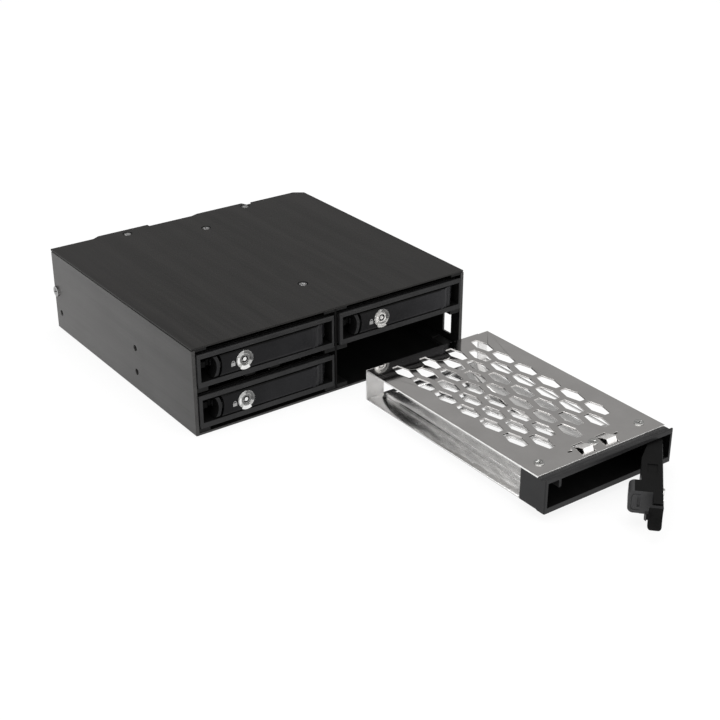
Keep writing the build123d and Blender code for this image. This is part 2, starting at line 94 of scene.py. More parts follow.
def mathNode(tree, operation, first, second=None, clamp=False):
    node = tree.nodes.new("ShaderNodeMath")
    node.operation = operation
    node.use_clamp = clamp
    for socket, value in zip(node.inputs, (first, second)):
        if value is None:
            continue
        if isinstance(value, (int, float)):
            socket.default_value = value
        else:
            tree.links.new(value, socket)
    return node.outputs[0]


def mapRange(tree, value, low, high, toLow, toHigh):
    node = tree.nodes.new("ShaderNodeMapRange")
    tree.links.new(value, node.inputs["Value"])
    node.inputs["From Min"].default_value = low
    node.inputs["From Max"].default_value = high
    node.inputs["To Min"].default_value = toLow
    node.inputs["To Max"].default_value = toHigh
    return node.outputs["Result"]


def makeBrushing():
    # long fine scratches: noise squeezed across the brushing and stretched along it
    group, inside, outside = newGroup(
        "brushing",
        [("Stretch", "NodeSocketVector", (1.0, 1.0, 1.0)), ("Density", "NodeSocketFloat", 900.0)],
        [("Lines", "NodeSocketFloat"), ("Broad", "NodeSocketFloat")],
    )
    coords = group.nodes.new("ShaderNodeTexCoord")
    scaled = group.nodes.new("ShaderNodeVectorMath")
    scaled.operation = "MULTIPLY"
    group.links.new(coords.outputs["Object"], scaled.inputs[0])
    group.links.new(inside.outputs["Stretch"], scaled.inputs[1])
    fine = group.nodes.new("ShaderNodeTexNoise")
    fine.inputs["Detail"].default_value = 3.0
    group.links.new(scaled.outputs[0], fine.inputs["Vector"])
    group.links.new(inside.outputs["Density"], fine.inputs["Scale"])
    wide = group.nodes.new("ShaderNodeTexNoise")
    wide.inputs["Detail"].default_value = 2.0
    group.links.new(scaled.outputs[0], wide.inputs["Vector"])
    group.links.new(mathNode(group, "MULTIPLY", inside.outputs["Density"], 0.16), wide.inputs["Scale"])
    group.links.new(fine.outputs["Fac"], outside.inputs["Lines"])
    group.links.new(wide.outputs["Fac"], outside.inputs["Broad"])
    return group


def makeHandling():
    # smudges, fine dust and the odd speck
    group, inside, outside = newGroup(
        "handling",
        [("Smudge Scale", "NodeSocketFloat", 35.0), ("Speck Scale", "NodeSocketFloat", 900.0)],
        [("Smudge", "NodeSocketFloat"), ("Specks", "NodeSocketFloat")],
    )
    coords = group.nodes.new("ShaderNodeTexCoord")
    smudge = group.nodes.new("ShaderNodeTexNoise")
    smudge.inputs["Detail"].default_value = 4.0
    smudge.inputs["Roughness"].default_value = 0.6
    group.links.new(coords.outputs["Object"], smudge.inputs["Vector"])
    group.links.new(inside.outputs["Smudge Scale"], smudge.inputs["Scale"])
    speck = group.nodes.new("ShaderNodeTexVoronoi")
    group.links.new(coords.outputs["Object"], speck.inputs["Vector"])
    group.links.new(inside.outputs["Speck Scale"], speck.inputs["Scale"])
    group.links.new(mapRange(group, smudge.outputs["Fac"], 0.35, 0.7, 0.0, 1.0), outside.inputs["Smudge"])
    specks = mapRange(group, speck.outputs["Distance"], 0.05, 0.12, 1.0, 0.0)
    group.links.new(specks, outside.inputs["Specks"])
    return group


def makePebble():
    # the fine moulded or powder-coat grain
    group, inside, outside = newGroup(
        "pebble", [("Scale", "NodeSocketFloat", 2500.0)],
        [("Grain", "NodeSocketFloat"), ("Patch", "NodeSocketFloat")],
    )
    coords = group.nodes.new("ShaderNodeTexCoord")
    grain = group.nodes.new("ShaderNodeTexNoise")
    grain.inputs["Detail"].default_value = 2.0
    patch = group.nodes.new("ShaderNodeTexNoise")
    patch.inputs["Detail"].default_value = 2.0
    for noise in (grain, patch):
        group.links.new(coords.outputs["Object"], noise.inputs["Vector"])
    group.links.new(inside.outputs["Scale"], grain.inputs["Scale"])
    group.links.new(mathNode(group, "MULTIPLY", inside.outputs["Scale"], 0.03), patch.inputs["Scale"])
    group.links.new(grain.outputs["Fac"], outside.inputs["Grain"])
    group.links.new(patch.outputs["Fac"], outside.inputs["Patch"])
    return group


groups = {"brushing": makeBrushing(), "handling": makeHandling(), "pebble": makePebble()}
print("shader groups built")


# finishes


def mixColour(tree, factor, first, second):
    node = tree.nodes.new("ShaderNodeMix")
    node.data_type = "RGBA"
    tree.links.new(factor, node.inputs["Factor"])
    for socket, value in ((node.inputs["A"], first), (node.inputs["B"], second)):
        if hasattr(value, "links"):
            tree.links.new(value, socket)
        else:
            socket.default_value = (*value, 1.0)
    return node.outputs["Result"]


def grouped(tree, name, **values):
    node = tree.nodes.new("ShaderNodeGroup")
    node.node_tree = groups[name]
    for label, value in values.items():
        node.inputs[label.replace("_", " ")].default_value = value
    return node


def startFinish(name, **fixed):
    material = bpy.data.materials.new(name)
    material.use_nodes = True
    shader = material.node_tree.nodes["Principled BSDF"]
    for label, value in fixed.items():
        shader.inputs[label.replace("_", " ")].default_value = value
    return material, material.node_tree, shader


def addBump(tree, shader, height, distance, strength=1.0):
    bump = tree.nodes.new("ShaderNodeBump")
    bump.inputs["Strength"].default_value = strength
    bump.inputs["Distance"].default_value = distance
    tree.links.new(height, bump.inputs["Height"])
    tree.links.new(bump.outputs["Normal"], shader.inputs["Normal"])


def faded(tree, colour, fade):
    # painted light: brightens a colour steadily along one axis, between two places in metres
    axis, start, end, first, last = fade
    coords = tree.nodes.new("ShaderNodeTexCoord")
    split = tree.nodes.new("ShaderNodeSeparateXYZ")
    tree.links.new(coords.outputs["Object"], split.inputs["Vector"])
    gain = mapRange(tree, split.outputs[axis], start, end, first, last)
    scaled = tree.nodes.new("ShaderNodeVectorMath")
    scaled.operation = "SCALE"
    tree.links.new(colour, scaled.inputs[0])
    tree.links.new(gain, scaled.inputs["Scale"])
    return scaled.outputs[0]


def brushedFinish(name, dark, light, stretch, roughness, metallic=0.0, density=900.0, bump=0.00002, fade=None,
                  **fixed):
    material, tree, shader = startFinish(name, Metallic=metallic, **fixed)
    brushing = grouped(tree, "brushing", Stretch=stretch, Density=density)
    handling = grouped(tree, "handling")
    lines = mapRange(tree, brushing.outputs["Lines"], 0.3, 0.7, 0.0, 1.0)
    broad = mapRange(tree, brushing.outputs["Broad"], 0.3, 0.7, 0.0, 1.0)
    blend = mathNode(tree, "ADD", mathNode(tree, "MULTIPLY", lines, 0.6),
                     mathNode(tree, "MULTIPLY", broad, 0.4), True)
    colour = mixColour(tree, blend, dark, light)
    tree.links.new(faded(tree, colour, fade) if fade else colour, shader.inputs["Base Color"])
    low, high = roughness
    rough = mapRange(tree, lines, 0.0, 1.0, low, high)
    smudged = mathNode(tree, "MULTIPLY", handling.outputs["Smudge"], 0.05)
    tree.links.new(mathNode(tree, "ADD", rough, smudged), shader.inputs["Roughness"])
    addBump(tree, shader, brushing.outputs["Lines"], bump)
    return material


def mouldedFinish(name, dark, light, roughness, grain=2500.0, bump=0.00002, specks=0.02, fade=None, **fixed):
    material, tree, shader = startFinish(name, **fixed)
    pebble = grouped(tree, "pebble", Scale=grain)
    handling = grouped(tree, "handling")
    patch = mapRange(tree, pebble.outputs["Patch"], 0.3, 0.7, 0.0, 1.0)
    base = mixColour(tree, patch, dark, light)
    dust = mathNode(tree, "MULTIPLY", handling.outputs["Specks"], specks)
    colour = mixColour(tree, dust, base, (0.4, 0.4, 0.4))
    tree.links.new(faded(tree, colour, fade) if fade else colour, shader.inputs["Base Color"])
    low, high = roughness
    rough = mapRange(tree, handling.outputs["Smudge"], 0.0, 1.0, low, high)
    grainy = mathNode(tree, "MULTIPLY", pebble.outputs["Grain"], 0.06)
    tree.links.new(mathNode(tree, "ADD", rough, grainy), shader.inputs["Roughness"])
    addBump(tree, shader, pebble.outputs["Grain"], bump)
    return material


def polishedFinish(name, dark, light, roughness, bump=0.000004, wave=60.0, **fixed):
    material, tree, shader = startFinish(name, Metallic=1.0, **fixed)
    handling = grouped(tree, "handling", Smudge_Scale=wave)
    tree.links.new(mixColour(tree, handling.outputs["Smudge"], dark, light), shader.inputs["Base Color"])
    low, high = roughness
    gloss = mapRange(tree, handling.outputs["Smudge"], 0.0, 1.0, low, high)
    tree.links.new(gloss, shader.inputs["Roughness"])
    addBump(tree, shader, handling.outputs["Smudge"], bump)
    return material


finishes = {
    "coverBlack": brushedFinish("coverBlack", (0.0035, 0.0032, 0.003), (0.014, 0.013, 0.0125),
                                (1.0, 0.035, 1.0), (0.34, 0.5), density=900.0, bump=0.00004,
                                Specular_IOR_Level=0.2),
    # painted light: the shell's black brightens towards the back
    "shellBlack": brushedFinish("shellBlack", (0.021, 0.0205, 0.02), (0.043, 0.042, 0.0415), (1.0, 0.04, 1.0),
                                (0.3, 0.42), density=900.0, bump=0.00004, fade=("Y", 0.0, 0.138, 0.95, 1.85),
                                Specular_IOR_Level=0.28),
    # painted shade: a near-black for inside faces, recesses, undersides and faces turned from the light
    "shadeBlack": brushedFinish("shadeBlack", (0.003, 0.003, 0.003), (0.006, 0.006, 0.006), (1.0, 0.04, 1.0),
                                (0.5, 0.62), density=1300.0, Specular_IOR_Level=0.05),
    "bezelBlack": mouldedFinish("bezelBlack", (0.013, 0.013, 0.0135), (0.018, 0.018, 0.0185), (0.26, 0.34),
                                Specular_IOR_Level=0.16),
    "leverBlack": mouldedFinish("leverBlack", (0.004, 0.004, 0.0044), (0.006, 0.006, 0.0065), (0.22, 0.3),
                                Specular_IOR_Level=0.1),
    # painted light: lit copies of the lever's black that brighten towards the right, one for each column of
    # bays
    "leverLitLeft": mouldedFinish("leverLitLeft", (0.004, 0.004, 0.0044), (0.006, 0.006, 0.0065), (0.22, 0.3),
                               fade=("X", -0.056, -0.012, 0.9, 2.3), Specular_IOR_Level=0.1),
    "leverLitRight": mouldedFinish("leverLitRight", (0.004, 0.004, 0.0044), (0.006, 0.006, 0.0065), (0.22, 0.3),
                                fade=("X", 0.017, 0.061, 0.9, 3.2), Specular_IOR_Level=0.1),
    # painted light and shade by face direction: the lever's rear-facing faces take a copy of its black with a
    # lighter base and a weaker gloss
    "leverDark": mouldedFinish("leverDark", (0.010, 0.010, 0.0104), (0.014, 0.014, 0.0145), (0.3, 0.4),
                               Specular_IOR_Level=0.06),
    # painted light: a lighter black for the lever's cup and the trigger's lit faces
    "litBlack": mouldedFinish("litBlack", (0.028, 0.028, 0.029), (0.036, 0.036, 0.037), (0.34, 0.44),
                              Specular_IOR_Level=0.22),
    # painted highlight: a lighter black along the bezel's rib
    "ribHighlight": mouldedFinish("ribHighlight", (0.05, 0.05, 0.052), (0.065, 0.065, 0.067), (0.3, 0.4)),
    "triggerBlack": mouldedFinish("triggerBlack", (0.008, 0.008, 0.0085), (0.011, 0.011, 0.0115),
                                  (0.34, 0.44), Specular_IOR_Level=0.15),
    "railBlack": mouldedFinish("railBlack", (0.005, 0.005, 0.005), (0.008, 0.008, 0.008), (0.42, 0.52),
                               specks=0.03, Specular_IOR_Level=0.12),
    "connectorBlack": mouldedFinish("connectorBlack", (0.014, 0.014, 0.014), (0.02, 0.02, 0.02), (0.4, 0.5)),
    "sheetPolish": polishedFinish("sheetPolish", (0.6, 0.585, 0.575), (0.66, 0.645, 0.635), (0.05, 0.09)),
    "sheetSatin": polishedFinish("sheetSatin", (0.72, 0.715, 0.71), (0.82, 0.815, 0.81),
                                 (0.4, 0.52), wave=220.0),
    "floorPolish": polishedFinish("floorPolish", (0.68, 0.675, 0.67), (0.78, 0.775, 0.77),
                                  (0.2, 0.28), wave=260.0),
    # painted highlight: a brighter steel for the top plate's cut edges and their bevels
    "edgeHighlight": polishedFinish("edgeHighlight", (0.9, 0.9, 0.89), (0.97, 0.97, 0.96), (0.3, 0.4), wave=220.0),
    "lockChrome": polishedFinish("lockChrome", (0.74, 0.74, 0.73), (0.86, 0.86, 0.85),
                                 (0.1, 0.18), wave=400.0),
    # painted shade: darker copies of the chrome for the lock's front faces and its groove
    "lockFaceShade": polishedFinish("lockFaceShade", (0.4, 0.4, 0.39), (0.55, 0.55, 0.54), (0.16, 0.26), wave=900.0),
    "grooveShade": polishedFinish("grooveShade", (0.1, 0.1, 0.1), (0.2, 0.2, 0.195), (0.25, 0.35), wave=900.0),
    "screwBright": polishedFinish("screwBright", (0.42, 0.42, 0.41), (0.62, 0.62, 0.61),
                                  (0.1, 0.2), wave=900.0),
    "springSteel": brushedFinish("springSteel", (0.7, 0.69, 0.68), (0.84, 0.83, 0.82), (1.0, 0.1, 1.0),
                                 (0.36, 0.46), metallic=1.0, density=1600.0, bump=0.000005),
    "springShade": brushedFinish("springShade", (0.008, 0.008, 0.008), (0.014, 0.014, 0.014), (1.0, 0.1, 1.0),
                                 (0.4, 0.5), metallic=1.0, density=1600.0, bump=0.000005),
    "screwBlack": polishedFinish("screwBlack", (0.26, 0.26, 0.26), (0.4, 0.4, 0.4), (0.22, 0.34), wave=500.0),
    "goldContact": polishedFinish("goldContact", (0.72, 0.5, 0.18), (0.82, 0.6, 0.26),
                                  (0.15, 0.25), wave=600.0),
    "iconGrey": mouldedFinish("iconGrey", (0.2, 0.2, 0.2), (0.26, 0.26, 0.26), (0.45, 0.5), specks=0.0),
}


def clearFinish():
    material, tree, shader = startFinish("lightGuide", IOR=1.49, Transmission_Weight=0.35)
    handling = grouped(tree, "handling", Smudge_Scale=900.0)
    tint = mixColour(tree, handling.outputs["Smudge"], (0.9, 0.93, 0.95), (0.97, 0.98, 1.0))
    tree.links.new(tint, shader.inputs["Base Color"])
    gloss = mapRange(tree, handling.outputs["Smudge"], 0.0, 1.0, 0.12, 0.2)
    tree.links.new(gloss, shader.inputs["Roughness"])
    return material


def boardFinish():
    # solder mask with buried copper lines that show as a lighter green
    material, tree, shader = startFinish("boardGreen", Coat_Weight=0.4, Coat_Roughness=0.2)
    coords = tree.nodes.new("ShaderNodeTexCoord")
    bricks = tree.nodes.new("ShaderNodeTexBrick")
    bricks.offset = 0.37
    turned = tree.nodes.new("ShaderNodeMapping")
    turned.inputs["Rotation"].default_value = (math.radians(90), 0, 0)
    tree.links.new(coords.outputs["Object"], turned.inputs["Vector"])
    tree.links.new(turned.outputs["Vector"], bricks.inputs["Vector"])
    bricks.inputs["Scale"].default_value = 260.0
    bricks.inputs["Mortar Size"].default_value = 0.025
    bricks.inputs["Brick Width"].default_value = 3.2
    bricks.inputs["Row Height"].default_value = 0.32
    line = mathNode(tree, "MULTIPLY", bricks.outputs["Fac"], 1.0)
    pebble = grouped(tree, "pebble", Scale=1800.0)
    mask = mixColour(tree, pebble.outputs["Patch"], (0.006, 0.035, 0.018), (0.01, 0.055, 0.028))
    tree.links.new(mixColour(tree, line, mask, (0.03, 0.12, 0.06)), shader.inputs["Base Color"])
    tree.links.new(mapRange(tree, pebble.outputs["Grain"], 0.0, 1.0, 0.3, 0.45), shader.inputs["Roughness"])
    addBump(tree, shader, line, 0.00003)
    return material


finishes["lightGuide"] = clearFinish()
finishes["boardGreen"] = boardFinish()
print("finishes built:", len(finishes))


def paint(obj, finish):
    obj.data.materials.clear()
    obj.data.materials.append(finishes[finish])


# CAD pieces whose own shape stays, and what each is finished in
cageFinish = {
    "base_shell": "shellBlack", "top_cover": "coverBlack", "divider": "shadeBlack",
    "guide_rails": "railBlack",
    "rear_plate": "shellBlack", "backplane_board": "boardGreen", "drive_sockets": "connectorBlack",
    "data_ports": "connectorBlack", "power_ports": "connectorBlack", "cover_screws": "screwBlack",
    "side_screws": "screwBlack",
}
trayFinish = {
    "top_plate": "sheetPolish", "floor_plate": "floorPolish", "bezel": "bezelBlack",
    "contact_clip": "springSteel",
    "screws": "screwBright", "hinge_pin": "springSteel", "light_guides": "lightGuide", "lever": "leverBlack",
    "lock_housing": "lockChrome", "lock_cylinder": "lockChrome", "trigger": "triggerBlack",
    "trigger_spring": "springSteel",
}
for name, finish in cageFinish.items():
    paint(nodes[name], finish)
for tray in trays:
    for name, finish in trayFinish.items():
        paint(nodes[f"{tray}_{name}"], finish)
print("CAD pieces finished")


# softened copies of CAD pieces, so that their edges catch the light


def finishMesh(obj):
    bpy.context.view_layer.update()
    baked = bpy.data.meshes.new_from_object(obj.evaluated_get(bpy.context.evaluated_depsgraph_get()))
    obj.modifiers.clear()
    obj.data = baked
    return obj


def addBevel(obj, width, segments=2, angle=35.0):
    bevel = obj.modifiers.new("edge", "BEVEL")
    bevel.width = width
    bevel.segments = segments
    bevel.limit_method = "ANGLE"
    bevel.angle_limit = math.radians(angle)
    bevel.use_clamp_overlap = True
    weighted = obj.modifiers.new("weighted", "WEIGHTED_NORMAL")
    weighted.mode = "FACE_AREA"
    weighted.weight = 80


def settle(obj, body, slot, *replaced):
    for node in replaced:
        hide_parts(node)
    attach(obj, body)
    print("made", obj.name, len(obj.data.polygons), "faces")
    return obj


def softened(nodeName, width, finish, slot, body, segments=2, angle=35.0):
    mesh = nodes[nodeName].data.copy()
    built = bmesh.new()
    built.from_mesh(mesh)
    bmesh.ops.remove_doubles(built, verts=built.verts, dist=0.000004)
    bmesh.ops.dissolve_limit(built, angle_limit=math.radians(0.4), verts=built.verts, edges=built.edges)
    for face in built.faces:
        face.smooth = True
    built.to_mesh(mesh)
    built.free()
    obj = bpy.data.objects.new(f"{nodeName}_soft", mesh)
    scene.collection.objects.link(obj)
    addBevel(obj, width, segments, angle)
    finishMesh(obj)
    paint(obj, finish)
    return settle(obj, body, slot, nodeName)


def repaint(obj, finish, inside, place=Matrix.Identity(4)):
    # faces that the test picks, in the piece's own frame, take another finish
    obj.data.materials.append(finishes[finish])
    index = len(obj.data.materials) - 1
    local = place.inverted()
    for face in obj.data.polygons:
        if inside(local @ face.center / mm, local.to_3x3() @ face.normal):
            face.material_index = index


softening = {
    "bezel": (0.00022, "bezelBlack", "bezel_plastic", "tray"),
    "contact_clip": (0.00006, "springSteel", "spring_steel", "tray"),
    "lever": (0.00028, "leverBlack", "bezel_plastic", "lever"),
    "lock_housing": (0.00012, "lockChrome", "lock_chrome", "lever"),
    "lock_cylinder": (0.0001, "lockChrome", "lock_chrome", "lock"),
    "trigger": (0.00018, "triggerBlack", "trigger_plastic", "trigger"),
}
def aroundLock(at):
    return math.hypot(at.x + 12.0, at.z - 7.3)


# second finishes on parts of a piece, all painted light and shade: painted shade in recesses, on the clips'
# base and on faces turned from the light, a painted highlight on the rib, painted light on the grey cup and
# the trigger's lit faces, a painted tone on the lever's rear faces, and painted shade in the lock's groove
# and on its front faces
touches = {
    "bezel": (("shadeBlack", lambda at, normal: abs(at.x) < 33.35 and 2.0 < at.z < 13.1 and at.y > -4.2),
              ("ribHighlight", lambda at, normal: (
                  -19.0 < at.x < -17.5 and 4.1 < at.y < 8.5 and 2.0 < at.z < 13.1))),
    "contact_clip": (("springShade", lambda at, normal: at.z < 13.95),),
    "lever": (("shadeBlack", lambda at, normal: (
                  at.x < -17.5 and -2.6 < at.y < 0 or at.z > 11.7 and normal.z > 0.2)),
              ("leverDark", lambda at, normal: normal.y > 0.4 and at.x > -7.6),
              ("litBlack", lambda at, normal: -16.3 < at.x < -7.7 and at.y > -0.8)),
    "lock_cylinder": (("grooveShade", lambda at, normal: aroundLock(at) > 0.85 and at.y < -3.0),
                      ("lockFaceShade", lambda at, normal: aroundLock(at) > 1.65 and at.y < -4.8)),
    "lock_housing": (("grooveShade", lambda at, normal: aroundLock(at) < 2.9 and at.y < -4.0),
                     ("lockFaceShade", lambda at, normal: normal.y < -0.5 and at.y > -5.2)),
    "trigger": (("shadeBlack", lambda at, normal: at.y > -4.2 and normal.x < -0.2),
                ("litBlack", lambda at, normal: normal.y > 0.3 or (at.y > -4.2 and normal.x > 0.2))),
}


def lowerLock(obj, place):
    # the collar stands a little less proud than the solid that it stands for
    local = place.inverted()
    for vertex in obj.data.vertices:
        at = local @ vertex.co
        if at.y < -4.6 * mm:
            at.y = -4.6 * mm + (at.y + 4.6 * mm) * 0.55
            vertex.co = place @ at


for tray in trays:
    for piece, (width, finish, slot, rider) in softening.items():
        body = tray if rider == "tray" else f"{rider}_{tray[-1]}"
        # seated levers take the lit copies with painted light
        if piece == "lever" and not trays[tray][2]:
            finish = "leverLitLeft" if trays[tray][0] < 0 else "leverLitRight"
        obj = softened(f"{tray}_{piece}", width, finish, slot, body)
        place = trayPlace(tray) if rider == "tray" else leverPlace(tray)
        for other, inside in touches.get(piece, ()):
            repaint(obj, other, inside, place)
        if piece == "contact_clip" and not trays[tray][2]:
            repaint(obj, "springShade", lambda at, normal: normal.y < -0.15, place)
        if piece in ("lock_housing", "lock_cylinder"):
            lowerLock(obj, place)

coverHoles = ((-33.0, 134.6), (35.6, 134.6), (3.0, 30.8), (3.0, 118.9))
shell = softened("base_shell", 0.00016, "shellBlack", "shell_paint", "cage")
# painted shade on the cage's inside faces
repaint(shell, "shadeBlack", lambda at, normal: abs(at.x) < 72.1 and at.z > 0.9 and at.y > 0.3)
cover = softened("top_cover", 0.00016, "coverBlack", "cover_paint", "cage")
# painted shade under the cover, on its edges and in the rings round its screw holes
repaint(cover, "shadeBlack", lambda at, normal: (at.z < 40.6 and normal.z < 0.5) or (
    at.z < 41.28 and min(math.hypot(at.x - x, at.y - y) for x, y in coverHoles) < 2.6))
# painted shade: the divider takes the near-black shade finish all over
softened("divider", 0.00012, "shadeBlack", "shell_paint", "cage")
softened("guide_rails", 0.0002, "railBlack", "rail_plastic", "cage")
softened("rear_plate", 0.00012, "shellBlack", "shell_paint", "cage")
print("softened pieces built")


# Geometry Nodes: trees that make what repeats


def newTree(name, inputs):
    tree = bpy.data.node_groups.new(name, "GeometryNodeTree")
    tree.interface.new_socket("Geometry", in_out="INPUT", socket_type="NodeSocketGeometry")
    for label, kind, value in inputs:
        socket = tree.interface.new_socket(label, in_out="INPUT", socket_type=f"NodeSocket{kind}")
        if value is not None:
            socket.default_value = value
    tree.interface.new_socket("Geometry", in_out="OUTPUT", socket_type="NodeSocketGeometry")
    return tree, tree.nodes.new("NodeGroupInput").outputs, tree.nodes.new("NodeGroupOutput")


def endTree(tree, geometry, material, end):
    whole = addNode(tree, "GeometryNodeRealizeInstances", {"Geometry": geometry})
    painted = addNode(tree, "GeometryNodeSetMaterial", {"Geometry": whole.outputs[0], "Material": material})
    tree.links.new(painted.outputs[0], end.inputs[0])


def grown(name, tree, mesh, values, bevel=None):
    obj = bpy.data.objects.new(name, mesh)
    scene.collection.objects.link(obj)
    modifier = obj.modifiers.new(tree.name, "NODES")
    modifier.node_group = tree
    for item in tree.interface.items_tree:
        if item.in_out == "INPUT" and item.name in values:
            modifier[item.identifier] = values[item.name]
    if bevel:
        addBevel(obj, *bevel)
    return finishMesh(obj)


def calc(tree, operation, first, second=0.0):
    return addNode(tree, "ShaderNodeMath", {0: first, 1: second}, operation=operation).outputs[0]


def makePiercedSheet():
    # loops on the input mesh give the outline and plain openings, and the tree adds the honeycomb
    tree, given, end = newTree("piercedSheet", [
        ("Column Pitch", "Float", 0.0075), ("Row Pitch", "Float", 0.0147), ("Columns", "Int", 7),
        ("Rows", "Int", 6),
        ("First Even", "Float", 0.0191), ("First Odd", "Float", 0.0264), ("Half Width", "Float", 0.00315),
        ("Half Length", "Float", 0.0061), ("Corner", "Float", 0.0005), ("Thickness", "Float", 0.0007),
        ("Height", "Float", 0.0), ("Sheet", "Material", None)])
    ring = addNode(tree, "GeometryNodeCurvePrimitiveCircle", {"Resolution": 6, "Radius": 1.0})
    stretch = addNode(tree, "ShaderNodeCombineXYZ", {
        "X": given["Half Width"], "Z": 1.0,
        "Y": calc(tree, "DIVIDE", given["Half Length"], math.sin(math.radians(60)))})
    hexagon = addNode(tree, "GeometryNodeTransform", {
        "Geometry": ring.outputs[0], "Scale": stretch.outputs[0]})
    rounded = addNode(tree, "GeometryNodeFilletCurve", {
        "Curve": hexagon.outputs[0], "Count": 3, "Radius": given["Corner"], "Limit Radius": True},
                      mode="POLY")
    across = calc(tree, "MULTIPLY", calc(tree, "SUBTRACT", given["Columns"], 1.0), given["Column Pitch"])
    along = calc(tree, "MULTIPLY", calc(tree, "SUBTRACT", given["Rows"], 1.0), given["Row Pitch"])
    places = addNode(tree, "GeometryNodeMeshGrid", {
        "Size X": across, "Size Y": along, "Vertices X": given["Columns"], "Vertices Y": given["Rows"]})
    where = addNode(tree, "ShaderNodeSeparateXYZ", {0: addNode(tree, "GeometryNodeInputPosition").outputs[0]})
    column = calc(tree, "ROUND", calc(tree, "DIVIDE", where.outputs["X"], given["Column Pitch"]))
    odd = calc(tree, "MODULO", calc(tree, "ABSOLUTE", column), 2.0)
    step = calc(tree, "MULTIPLY", odd, calc(tree, "SUBTRACT", given["First Odd"], given["First Even"]))
    first = calc(tree, "ADD", calc(tree, "ADD", given["First Even"], step),
                 calc(tree, "MULTIPLY", along, 0.5))
    shift = addNode(tree, "ShaderNodeCombineXYZ", {"Y": first})
    staggered = addNode(tree, "GeometryNodeSetPosition", {
        "Geometry": places.outputs[0], "Offset": shift.outputs[0]})
    holes = addNode(tree, "GeometryNodeInstanceOnPoints", {
        "Points": staggered.outputs[0], "Instance": rounded.outputs[0]})
    cells = addNode(tree, "GeometryNodeRealizeInstances", {"Geometry": holes.outputs[0]})
    loops = addNode(tree, "GeometryNodeMeshToCurve", {"Mesh": given["Geometry"]})
    joined = tree.nodes.new("GeometryNodeJoinGeometry")
    tree.links.new(loops.outputs[0], joined.inputs[0])
    tree.links.new(cells.outputs[0], joined.inputs[0])
    flat = addNode(tree, "GeometryNodeFillCurve", {"Curve": joined.outputs[0]}, mode="TRIANGLES")
    raised = addNode(tree, "GeometryNodeExtrudeMesh", {
        "Mesh": flat.outputs[0], "Offset Scale": given["Thickness"], "Individual": False}, mode="FACES")
    under = addNode(tree, "GeometryNodeFlipFaces", {"Mesh": flat.outputs[0]})
    both = tree.nodes.new("GeometryNodeJoinGeometry")
    tree.links.new(raised.outputs[0], both.inputs[0])
    tree.links.new(under.outputs[0], both.inputs[0])
    merged = addNode(tree, "GeometryNodeMergeByDistance", {"Geometry": both.outputs[0], "Distance": 0.000002})
    lift = addNode(tree, "ShaderNodeCombineXYZ", {"Z": given["Height"]})
    placed = addNode(tree, "GeometryNodeTransform", {
        "Geometry": merged.outputs[0], "Translation": lift.outputs[0]})
    endTree(tree, placed.outputs[0], given["Sheet"], end)
    return tree


def makeCrossHeads():
    # a cross-recess screw on each vertex of the input mesh, each with its own turn
    tree, given, end = newTree("crossHeads", [
        ("Head Radius", "Float", 0.0021), ("Foot Radius", "Float", 0.0021), ("Head Height", "Float", 0.00045),
        ("Shank Radius", "Float", 0.0011), ("Shank Length", "Float", 0.003),
        ("Cross Length", "Float", 0.0022),
        ("Cross Width", "Float", 0.0004), ("Cross Depth", "Float", 0.0003), ("Aim", "Rotation", None),
        ("Seed", "Int", 3), ("Metal", "Material", None)])
    head = addNode(tree, "GeometryNodeMeshCone", {
        "Vertices": 40, "Radius Top": given["Head Radius"], "Radius Bottom": given["Foot Radius"],
        "Depth": given["Head Height"]})
    bars = []
    for turn in (0.0, math.radians(90)):
        size = addNode(tree, "ShaderNodeCombineXYZ", {
            "X": given["Cross Length"], "Y": given["Cross Width"],
            "Z": calc(tree, "MULTIPLY", given["Cross Depth"], 2.0)})
        bar = addNode(tree, "GeometryNodeMeshCube", {"Size": size.outputs[0]})
        top = addNode(tree, "ShaderNodeCombineXYZ", {"Z": given["Head Height"]})
        bars.append(addNode(tree, "GeometryNodeTransform", {
            "Geometry": bar.outputs[0], "Translation": top.outputs[0],
            "Rotation": (0.0, 0.0, turn)}).outputs[0])
    recessed = addNode(tree, "GeometryNodeMeshBoolean", {"Mesh 1": head.outputs[0]}, operation="DIFFERENCE")
    for bar in bars:
        tree.links.new(bar, recessed.inputs["Mesh 2"])
    shank = addNode(tree, "GeometryNodeMeshCylinder", {
        "Vertices": 24, "Radius": given["Shank Radius"], "Depth": given["Shank Length"]})
    down = addNode(tree, "ShaderNodeCombineXYZ", {"Z": calc(tree, "MULTIPLY", given["Shank Length"], -0.5)})
    lowered = addNode(tree, "GeometryNodeTransform", {
        "Geometry": shank.outputs[0], "Translation": down.outputs[0]})
    screw = tree.nodes.new("GeometryNodeJoinGeometry")
    tree.links.new(recessed.outputs[0], screw.inputs[0])
    tree.links.new(lowered.outputs[0], screw.inputs[0])
    heads = addNode(tree, "GeometryNodeInstanceOnPoints", {
        "Points": given["Geometry"], "Instance": screw.outputs[0], "Rotation": given["Aim"]})
    spin = addNode(tree, "FunctionNodeRandomValue", {"Seed": given["Seed"]}, data_type="FLOAT")
    spin.inputs[2].default_value = 0.0
    spin.inputs[3].default_value = math.pi / 2
    about = addNode(tree, "ShaderNodeCombineXYZ", {"Z": spin.outputs[1]})
    turned = addNode(tree, "GeometryNodeRotateInstances", {
        "Instances": heads.outputs[0], "Rotation": about.outputs[0], "Local Space": True})
    endTree(tree, turned.outputs[0], given["Metal"], end)
    return tree


